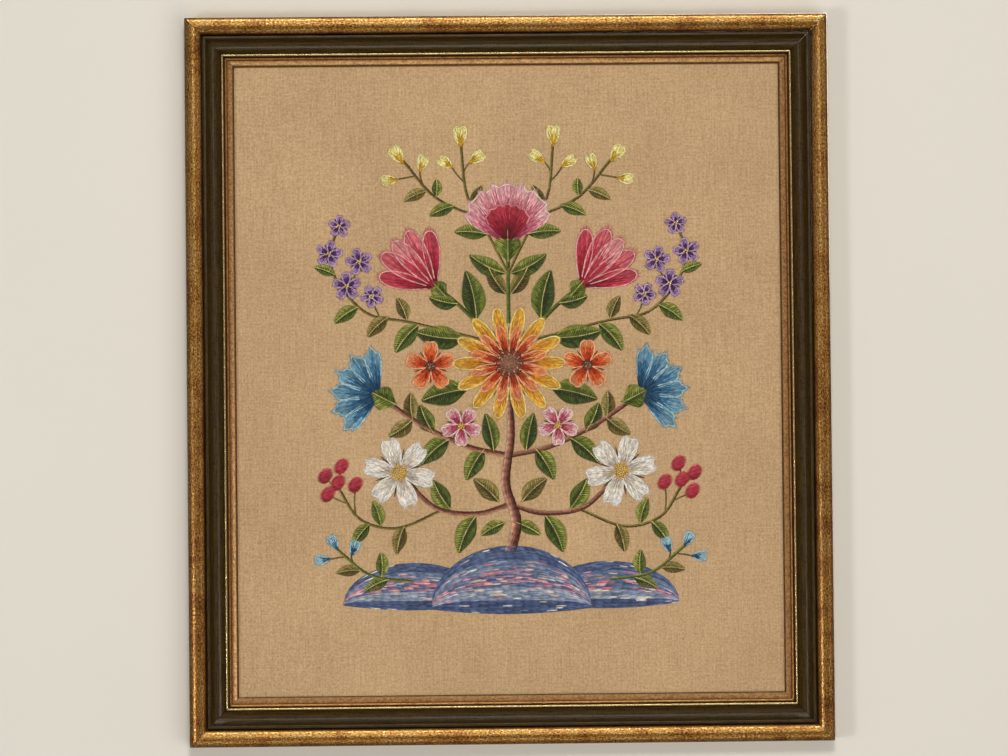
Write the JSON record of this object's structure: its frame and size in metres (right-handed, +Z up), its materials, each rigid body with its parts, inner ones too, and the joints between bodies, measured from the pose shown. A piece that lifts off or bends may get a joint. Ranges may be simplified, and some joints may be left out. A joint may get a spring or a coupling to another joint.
{
  "type": "framed embroidered linen panel",
  "caption": "Flat linen panel worked with a flowering tree in raised wool stitches, stretched over a board in a gilt and dark mitred picture frame that hangs on a wall.",
  "frame": {"origin": "middle of the top rail's wall side, where the frame hangs", "axes": "+Z up the picture, +Y into the wall, +X to the viewer's right; the stitched face looks along -Y"},
  "size_m": [0.556, 0.027, 0.629],
  "materials": {
    "gilt_wood": "worn antique gold leaf",
    "dark_wood": "olive-black eggshell paint",
    "gilt_slip": "bronze gilt, rubbed at the edges",
    "linen": "plain weave, matt, worked in wool",
    "hardboard": "bare pressed board"
  },
  "bodies": {
    "root": {"gilt_rail_top": "gilt_wood", "gilt_rail_right": "gilt_wood", "gilt_rail_bottom": "gilt_wood", "gilt_rail_left": "gilt_wood", "dark_rail_top": "dark_wood", "dark_rail_right": "dark_wood", "dark_rail_bottom": "dark_wood", "dark_rail_left": "dark_wood", "slip_rail_top": "gilt_slip", "slip_rail_right": "gilt_slip", "slip_rail_bottom": "gilt_slip", "slip_rail_left": "gilt_slip", "linen_panel": "linen", "backing_board": "hardboard"}
  },
  "joints": []
}
